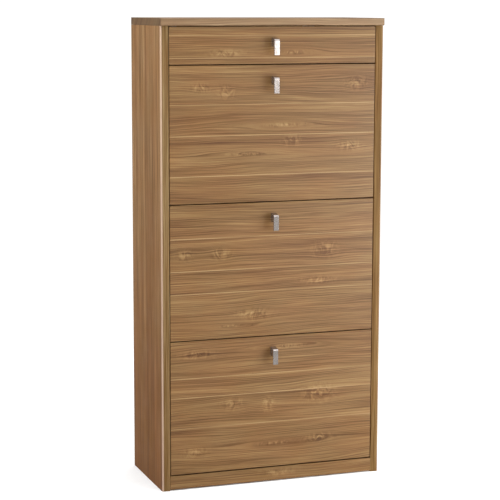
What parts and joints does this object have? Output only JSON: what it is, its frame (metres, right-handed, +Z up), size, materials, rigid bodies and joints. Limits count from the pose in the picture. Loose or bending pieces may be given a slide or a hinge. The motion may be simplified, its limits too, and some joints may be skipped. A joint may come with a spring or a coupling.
{
  "type": "shoe cabinet",
  "caption": "Tall free-standing shoe cabinet in walnut-effect board: a shallow top drawer over tilt-out double-row shoe buckets, each opened by a bright metal tab pull.",
  "frame": {"origin": "on the floor under the middle of the whole outline, handles included", "axes": "+Z up, the fronts and handles face -Y, +X to the right of someone facing the fronts"},
  "size_m": [0.708, 0.34, 1.42],
  "materials": {
    "front_walnut": "satin walnut-effect laminate, grain across",
    "carcass_walnut": "satin walnut-effect laminate, grain upright on the sides",
    "inside_walnut": "matt walnut-effect laminate",
    "hardboard": "matt brown printed hardboard",
    "aluminium": "satin nickel-coloured cast pull",
    "zinc_steel": "zinc-plated",
    "brown_plastic": "dark brown moulded",
    "white_nylon": "off-white moulded"
  },
  "bodies": {
    "carcass": {"side_left": "carcass_walnut", "side_right": "carcass_walnut", "top_panel": "carcass_walnut", "bottom_panel": "inside_walnut", "plinth": "front_walnut", "drawer_shelf": "inside_walnut", "rear_rail_over_bottom": "inside_walnut", "rear_rail_over_middle": "inside_walnut", "back_panel_lower": "hardboard", "back_panel_upper": "hardboard", "back_joining_strip": "brown_plastic", "wall_bracket_left": "zinc_steel", "wall_bracket_right": "zinc_steel", "drawer_runner_left": "white_nylon", "drawer_runner_right": "white_nylon", "pivot_bush_bottom_left": "white_nylon", "pivot_bush_bottom_right": "white_nylon", "stop_pin_bottom_left": "white_nylon", "stop_pin_bottom_right": "white_nylon", "pivot_bush_middle_left": "white_nylon", "pivot_bush_middle_right": "white_nylon", "stop_pin_middle_left": "white_nylon", "stop_pin_middle_right": "white_nylon", "pivot_bush_top_left": "white_nylon", "pivot_bush_top_right": "white_nylon", "stop_pin_top_left": "white_nylon", "stop_pin_top_right": "white_nylon"},
    "drawer": {"drawer_front": "front_walnut", "drawer_handle": "aluminium", "drawer_side_left": "inside_walnut", "drawer_side_right": "inside_walnut", "drawer_back": "inside_walnut", "drawer_base": "hardboard"},
    "flap_bottom": {"flap_bottom_front": "front_walnut", "flap_bottom_handle": "aluminium", "flap_bottom_bucket_side_left": "brown_plastic", "flap_bottom_bucket_side_right": "brown_plastic", "flap_bottom_front_floor": "inside_walnut", "flap_bottom_divider": "inside_walnut", "flap_bottom_rear_floor": "inside_walnut"},
    "flap_middle": {"flap_middle_front": "front_walnut", "flap_middle_handle": "aluminium", "flap_middle_bucket_side_left": "brown_plastic", "flap_middle_bucket_side_right": "brown_plastic", "flap_middle_front_floor": "inside_walnut", "flap_middle_divider": "inside_walnut", "flap_middle_rear_floor": "inside_walnut"},
    "flap_top": {"flap_top_front": "front_walnut", "flap_top_handle": "aluminium", "flap_top_bucket_side_left": "brown_plastic", "flap_top_bucket_side_right": "brown_plastic", "flap_top_front_floor": "inside_walnut", "flap_top_divider": "inside_walnut", "flap_top_rear_floor": "inside_walnut"}
  },
  "joints": [
    {"name": "drawer_slide", "type": "slide", "parent": "carcass", "child": "drawer", "axis": [0, -1, 0], "range_m": [0, 0.2]},
    {"name": "flap_bottom_tilt", "type": "hinge", "parent": "carcass", "child": "flap_bottom", "pos_m": [0, -0.123, 0.1386], "axis": [1, 0, 0], "range_deg": [0, 45]},
    {"name": "flap_middle_tilt", "type": "hinge", "parent": "carcass", "child": "flap_middle", "pos_m": [0, -0.123, 0.5508], "axis": [1, 0, 0], "range_deg": [0, 45]},
    {"name": "flap_top_tilt", "type": "hinge", "parent": "carcass", "child": "flap_top", "pos_m": [0, -0.123, 0.963], "axis": [1, 0, 0], "range_deg": [0, 45]}
  ]
}
